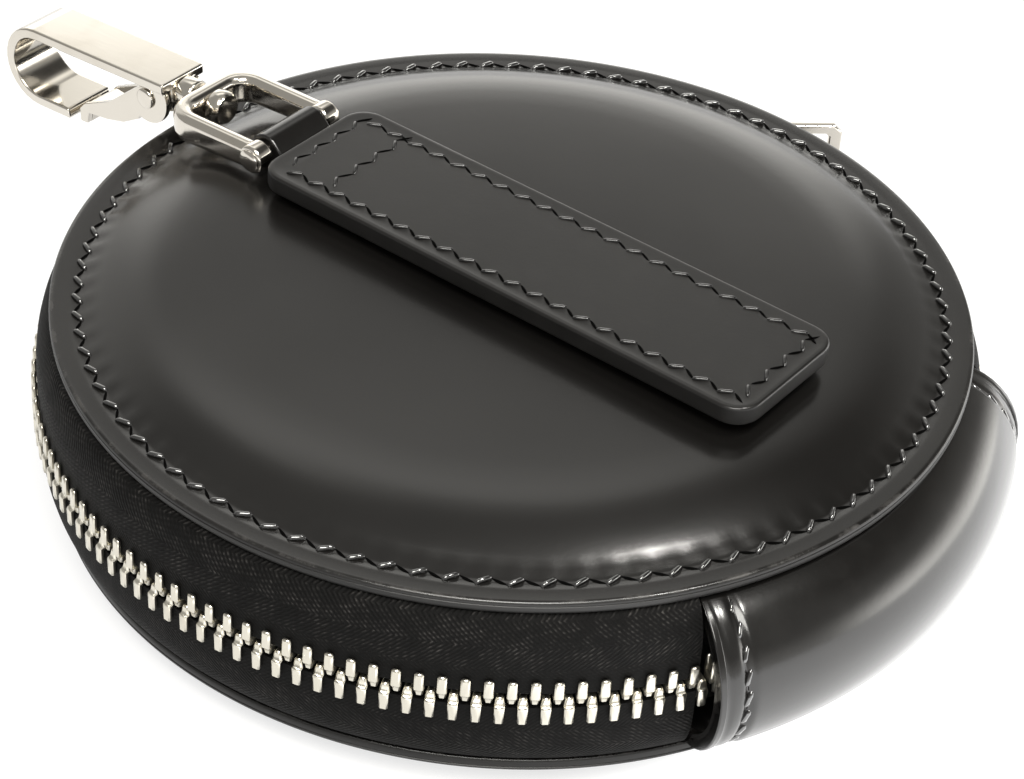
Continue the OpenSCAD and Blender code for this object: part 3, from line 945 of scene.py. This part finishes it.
def round_box(x0, x1, half, r, z):
    """Outline of a rectangle with round corners."""
    points = []
    for cx, cy, first in ((x1 - r, half - r, 0), (x0 + r, half - r, 90), (x0 + r, r - half, 180), (x1 - r, r - half, 270)):
        for i in range(7):
            a = math.radians(first + 15 * i)
            points.append((cx + r * math.cos(a), cy + r * math.sin(a), z))
    return points


def strap():
    low = STRAP_TOP - STRAP_T
    piece = cut_out("strap_leather", round_box(STRAP_L, STRAP_R, STRAP_HALF_W, 3, low), (0, 0, STRAP_T))
    for sign, lift in ((1, 0.14), (-1, 0.0)):
        pick(piece, lambda face: face.normal.z * sign > 0.9, "FACE")
        bpy.ops.mesh.inset(thickness=0.7 * MM)
        bpy.ops.mesh.inset(thickness=1.1 * MM, depth=-lift * MM)
        bpy.ops.mesh.inset(thickness=0.9 * MM, depth=lift * MM)
        leave_edit()
    for x in [STRAP_SEAM + 0.9 * i for i in range(-1, 11)] + [-10, 0, 10, 20, 28]:
        pick(piece, lambda co: True)
        bpy.ops.mesh.bisect(plane_co=(x * MM, 0, 0), plane_no=(1, 0, 0))
        leave_edit()
    eased(piece, 0.32, 3, 60)
    return piece


strap_piece = strap()
strap_piece.data.materials.append(strap_finish)
strap_piece.data.materials.append(edge_black)
for face in strap_piece.data.polygons:
    face.material_index = int(abs(face.normal.z) < 0.35)


def settled_flap(piece, *nodes):
    if nodes:
        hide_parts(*nodes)
    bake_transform(piece)
    print(piece.name, "faces", len(piece.data.polygons))


strap_nodes = ("strap_anchor_outer", "strap_anchor_lining", "strap_flap_outer", "strap_flap_lining")
settled_flap(strap_piece, *strap_nodes)

# %% Strap stitches
GROOVE = 0.07


def strap_places(z, shift, slant):
    """Rows along both sides and both ends, and the cross row that ends the sewn part."""
    inset, pitch = 2.2, 3.05
    x0, x1, y = STRAP_L + inset, STRAP_R - inset, STRAP_HALF_W - inset
    rows = [((x0, -y), (x1, -y), 0), ((x0, y), (x1, y), 0), ((x1, -y), (x1, y), 0), ((x0, -y), (x0, y), 0)]
    rows.append(((STRAP_SEAM, -y), (STRAP_SEAM, y), GROOVE))
    places = []
    for (ax, ay), (bx, by), above in rows:
        count = round(math.hypot(bx - ax, by - ay) / pitch)
        lean = math.atan2(by - ay, bx - ax) + slant
        for i in range(count):
            s = (i + shift) / count
            point = (ax + (bx - ax) * s, ay + (by - ay) * s, z + above)
            places.append((point, (math.cos(lean), math.sin(lean), 0), (0, 0, 1)))
    return places


strap_stitch = one_stitch(2.1, 0.46)
thread_row = seam("strap_stitches", strap_stitch, strap_places(STRAP_TOP - 0.04, 0.5, STITCH_LEAN))
thread_row.data.materials.append(thread_dull)
settled_flap(thread_row)
slit_row = seam("strap_slits", slit, strap_places(STRAP_TOP - 0.05, 1.0, SLIT_LEAN))
slit_row.data.materials.append(slit_black)
settled_flap(slit_row)

# %% [markdown]
# ## The rolled tab
# A short tab of leather goes round the stirrup's pin and back under the strap. Its section is drawn
# once, as seen from the side, and pushed across.

# %% Tab
PIN_X, PIN_Z = -32.6, 31.6


def tab():
    r = 2.05
    arc = [math.radians(270 - 15 * i) for i in range(15)]
    roll = [(PIN_X + r * math.cos(a), PIN_Z + r * math.sin(a)) for a in arc]
    tail = [(-30.4, 32.35), (-29.9, 31.7), (-29.3, 31.0), (-28.4, 30.75), (-21.7, 30.75), (-21.7, 29.55)]
    outline = [(x, -4.2, z) for x, z in roll + tail]
    return eased(cut_out("hook_tab", outline, (0, 8.4, 0)), 0.28, 3, 50)


settled(tab(), smooth_leather, "lid", "panel_leather", "hook_loop")

# %% [markdown]
# ## The stirrup and its pin
# The stirrup is a cast U with every edge polished round. It is cut out of a plan, thickened towards
# its bar and eased heavily. All the hook's pieces slope down a few degrees from the pin, so they
# are modelled level at the pin and then tipped together.

# %% Stirrup
DROOP = math.radians(-3.5)
tip = Matrix.Translation((PIN_X * MM, 0, PIN_Z * MM)) @ Matrix.Rotation(DROOP, 4, "Y")


def corner(cx, cy, r, first, last, z, steps=6):
    """Points of an arc between two angles in degrees."""
    turns = [math.radians(first + (last - first) * i / steps) for i in range(steps + 1)]
    return [(cx + r * math.cos(a), cy + r * math.sin(a), z) for a in turns]


def stirrup():
    z = -1.6
    outer = [(0, -6.75, z)] + corner(-9.9, -2.75, 4, 270, 180, z) + corner(-9.9, 2.75, 4, 180, 90, z) + [(0, 6.75, z)]
    inner = [(0, 4.55, z)] + corner(-9.7, 2.75, 1.8, 90, 180, z) + corner(-9.7, -2.75, 1.8, 180, 270, z) + [(0, -4.55, z)]
    frame_u = cut_out("stirrup_u", outer + inner, (0, 0, 3.2))
    for point in frame_u.data.vertices:
        point.co.z *= 1 + 0.16 * min(1, max(0, (-point.co.x / MM - 3) / 9))
    eased(frame_u, 1.02, 5, 50)
    parts = [frame_u]
    for side in (-1, 1):
        ring = corner(0, 0, 1.72, 0, 360, 0, 28)[:-1]
        eye = cut_out("eye", [(x, side * 4.5, y) for x, y, _ in ring], (0, side * 2.3, 0))
        parts.append(eased(eye, 0.45, 3, 50))
    piece = joined("stirrup_cast", parts)
    piece.data.transform(tip)
    return piece


settled(stirrup(), nickel, "stirrup_body", "nickel", "stirrup")


# %% Pin and swivel post
def lathe(name, profile, quarter, place=(0, 0, 0), steps=40):
    """A turned piece: a profile of (radius, along) spun, then laid along X or Y and tipped."""
    piece = spun(name, profile, steps=steps)
    piece.data.transform(tip @ Matrix.Translation(Vector(place) * MM) @ quarter)
    return eased(piece, 0.08, 2, 50)


ALONG_Y = Matrix.Rotation(math.radians(90), 4, "X")
ALONG_X = Matrix.Rotation(math.radians(90), 4, "Y")
head = [(1.35, 6.72), (1.3, 6.95), (1.05, 7.12), (0.6, 7.22), (0, 7.25)]
pin_profile = [(0, -z) if r == 0 else (r, -z) for r, z in reversed(head)] + [(0.95, -6.7), (0.95, 6.7)] + head
settled(lathe("stirrup_pin_steel", pin_profile, ALONG_Y), nickel, "stirrup_body", "nickel", "stirrup_pin")
post = [(0, -17.9), (1.3, -17.9), (1.3, -16.3), (1.7, -16.3), (1.95, -16.0), (1.95, -14.4), (1.75, -14.08)]
post += [(1.28, -14.05), (1.28, -11.4), (1.85, -11.35), (2.0, -11.1), (2.0, -9.9), (1.7, -9.5), (1.0, -9.35)]
post += [(0, -9.3)]
settled(lathe("swivel_post_turned", post, ALONG_X), nickel, "hook", "nickel", "swivel_post")

# %% [markdown]
# ## The snap hook
# The hook is one bent strip: flat on top, round at the nose, with a short lip below. A sprung lever
# turns on a rivet under the strip and closes against the lip.

# %% Strip and hub
STRIP_TOP, STRIP_T = 2.1, 1.3
NOSE_X, NOSE_Z, NOSE_R = -37.5, -3.0, 5.1
HUB_X, HUB_Z, HUB_R = -19.6, -0.8, 3.2


def arc_xz(cx, cz, r, first, last, y, steps=14):
    return [(x, y, z) for x, z, _ in corner(cx, cz, r, first, last, 0, steps)]


def hook_body():
    y = -3.5
    outer = [(-16.4, y, STRIP_TOP)] + arc_xz(NOSE_X, NOSE_Z, NOSE_R, 90, 270, y) + [(-32.6, y, -8.1), (-32.3, y, -7.8)]
    inner = [(-32.6, y, -6.8)] + arc_xz(NOSE_X, NOSE_Z, NOSE_R - STRIP_T, 270, 90, y) + [(-16.4, y, 0.8)]
    strip = eased(cut_out("strip", outer + inner, (0, 7, 0)), 0.3, 3, 50)
    y = -2.1
    block = arc_xz(HUB_X, HUB_Z, 2.2, 180, 310, y, 10) + [(-16.3, y, -1.9), (-16.3, y, 1.4), (-21.8, y, 1.4)]
    hub = eased(cut_out("hub", block, (0, 4.2, 0)), 0.25, 2, 50)
    piece = joined("hook_strip", [strip, hub])
    piece.data.transform(tip)
    return piece


settled(hook_body(), nickel, "hook", "nickel", "hook_body")


# %% Trigger lever
def trigger():
    """Two cheeks and a web, cut from one side view of the lever."""
    lever = [(-21.25, 0.06), (-26, -3.6), (-30.2, -5.4), (-31.1, -6.3), (-31.1, -8), (-29.9, -8), (-29.6, -6.5)]
    lever += [(-26.5, -6.2), (-23.8, -5.6), (-21.2, -4.2)]
    around = [(x, z) for x, _, z in arc_xz(HUB_X, HUB_Z, HUB_R, 245, 385, 0, 14)]
    top = [(-17.0, 0.62), (-19.4, 0.66), (-20.6, 0.34)]
    outline = lever + around + top
    cheeks = []
    for y in (-3.0, 2.2):
        cheek = cut_out("cheek", [(x, y, z) for x, z in outline], (0, 0.8, 0))
        cheeks.append(eased(cheek, 0.2, 2, 50))
    web = [(-24.6, -4.6), (-26, -4.9), (-29.6, -5.4), (-30.9, -6.1), (-31.1, -6.3), (-31.1, -8), (-29.9, -8)]
    web += [(-29.6, -6.5), (-26.5, -6.2), (-24.6, -5.7)]
    middle = eased(cut_out("web", [(x, -2.4, z) for x, z in web], (0, 4.8, 0)), 0.15, 2, 50)
    piece = joined("trigger_lever_cast", [*cheeks, middle])
    piece.data.transform(tip)
    return piece


settled(trigger(), nickel, "trigger_lever", "nickel", "trigger")
rivet = [(0, -3.5), (0.9, -3.46), (1.25, -3.3), (1.3, -3.05), (0.8, -3.0), (0.8, 3.0), (1.3, 3.05), (1.25, 3.3)]
rivet += [(0.9, 3.46), (0, 3.5)]
rivet_piece = lathe("trigger_rivet_head", rivet, ALONG_Y, (HUB_X, 0, HUB_Z))
settled(rivet_piece, nickel, "hook", "nickel", "trigger_rivet")

# %% [markdown]
# ## Slider and pull
# The slider's CAD shape is right, so a merged copy of it only gets its edges eased. The pull is an
# open frame of flat bar that swings on the slider's bridge.

# %% Slider
def eased_copy(name, node, width):
    """A copy of a CAD node with its loose triangles merged and its edges rounded."""
    piece = copy_of(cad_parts[node], Matrix.Identity(4))
    for key in list(piece.keys()):
        if key.startswith("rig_"):
            del piece[key]
    piece.parent = None
    piece.name = name
    piece.hide_render = False
    pick(piece, lambda co: True)
    bpy.ops.mesh.remove_doubles(threshold=2e-6)
    bpy.ops.mesh.select_all(action="SELECT")
    bpy.ops.mesh.dissolve_limited(angle_limit=math.radians(2))
    leave_edit()
    return eased(piece, width, 2, 45)


settled(eased_copy("zip_slider", "slider_body", 0.18), nickel, "slider", "nickel", "slider_body")

# %% Pull
SLIDER_ANGLE, PIVOT_R, PULL_ANGLE = 97, 55.0, -54.5


def pull():
    """Four bars of an open frame, made by cutting a hole out of a plate."""
    x0, x1, half, y = -0.6, 12.9, 4.5, -0.5
    outline = [(x0, y, -half), (x1 - 1, y, -half), (x1, y, -half + 1), (x1, y, half - 1), (x1 - 1, y, half), (x0, y, half)]
    plate = cut_out("zip_pull_frame", outline, (0, 1, 0))
    hole = [(0.6, -1, -3.3), (10.9, -1, -3.3), (11.3, -1, -2.9), (11.3, -1, 2.9), (10.9, -1, 3.3), (0.6, -1, 3.3)]
    cutter = cut_out("pull_hole", hole, (0, 2, 0))
    alone(plate)
    carve = plate.modifiers.new("Hole", "BOOLEAN")
    carve.operation = "DIFFERENCE"
    carve.object = cutter
    bpy.ops.object.modifier_apply(modifier=carve.name)
    bpy.data.objects.remove(cutter)
    eased(plate, 0.22, 3, 50)
    out = Matrix.Rotation(math.radians(SLIDER_ANGLE), 4, "Z") @ Matrix.Translation((PIVOT_R * MM, 0, 0))
    swing = Matrix.Rotation(math.radians(PULL_ANGLE), 4, "Z")
    plate.data.transform(Matrix.Translation((0, 0, CASE_MID_Z * MM)) @ out @ swing)
    return plate


settled(pull(), nickel, "pull", "nickel", "zip_pull")

# %% [markdown]
# ## What stays as the CAD made it
# The stops, the press stud and the spring are small turned or stamped parts whose CAD shape is
# already true, so they only change their finish.

# %% Finish the small CAD parts
def refinished(node, material):
    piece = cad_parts[node]
    piece.data.materials.clear()
    piece.data.materials.append(material)
    for slot in piece.material_slots:
        slot.material = material


for node in ("zip_top_stop_upper", "zip_top_stop_lower", "zip_bottom_stop", "stud_post", "stud_socket"):
    refinished(node, nickel)
refinished("trigger_spring", spring_steel)
for pattern in (stitch, slit, strap_stitch, tooth):
    bpy.data.objects.remove(pattern)

# %% [markdown]
# ## The floor and the tent
# The purse lies on a pale floor that glows like a light table, a painted light, so there is hardly a
# shadow. It glows most on the right, which lights the underside of the gusset.
# Polished black leather is a dark mirror: what it shows is the tent. A tall card stands behind on
# the left for the broad sheen, a bright low card behind on the right whitens the gusset, and the
# dark gap above that card keeps the right side of the dome nearly black.

# %% Floor and surround
def glowing_floor():
    bpy.ops.object.select_all(action="DESELECT")
    bpy.ops.mesh.primitive_plane_add(size=6, location=(0, 0, 0))
    floor = bpy.context.object
    floor.name = "floor"
    made = Finish("glowing_floor", Specular_IOR_Level=0.2, Emission_Strength=3.0)
    tone = made.cells(6, 2)
    # The floor's glow is painted light: dim on the left, and bright on the right, where it lights the gusset.
    made.into(Emission_Color=made.blend(made.x.ramp(32, 76), grey(0.25), grey(0.85)))
    made.into(Base_Color=made.blend(tone, grey(0.25), grey(0.28)), Roughness=0.75 + tone * 0.05)
    floor.data.materials.append(made.material)


glowing_floor()
bpy.context.scene.view_settings.view_transform = "Standard"


def tent():
    """Cards round the purse: each is a patch of the surround, given by azimuth and height."""
    world = bpy.data.worlds.new("tent")
    bpy.context.scene.world = world
    world.use_nodes = True
    board = Board(world.node_tree)
    way = board.node("ShaderNodeTexCoord", {}, {}, "Generated")
    x = board.node("ShaderNodeSeparateXYZ", {}, {0: way}, "X")
    y, z = (Wire(board, x.socket.node.outputs[axis]) for axis in "YZ")
    level = (x * x + y * y).math("SQRT")

    def card(azimuth, half, low, high, soft=9):
        """1 inside a patch of sky, falling to 0 over the soft width; all in degrees."""
        a = math.radians(azimuth)
        facing = (x * math.cos(a) + y * math.sin(a)) / level
        edge = [math.cos(math.radians(half + way)) for way in (soft, -soft)]
        rise = [math.sin(math.radians(low + way)) for way in (-soft, soft)]
        fall = [math.sin(math.radians(high + way)) for way in (-soft, soft)]
        return facing.ramp(*edge) * z.ramp(*rise) * (1 - z.ramp(*fall))

    light = 0.40 + card(138, 26, 43, 64) * 1.25 + card(130, 20, -20, 27) * 1.9 + card(168, 14, -20, 40) * 0.5
    light = light + card(50, 24, -40, 9, 13) * 8.5 - card(62, 32, 33, 62, 8) * 0.34
    light = light + card(-80, 30, 74, 82, 5) * 0.9 + card(-20, 60, -30, 12) * 1.0
    board.feed(world.node_tree.nodes["Background"].inputs["Strength"], light)
    world.node_tree.nodes["Background"].inputs["Color"].default_value = (*WARM, 1)


tent()
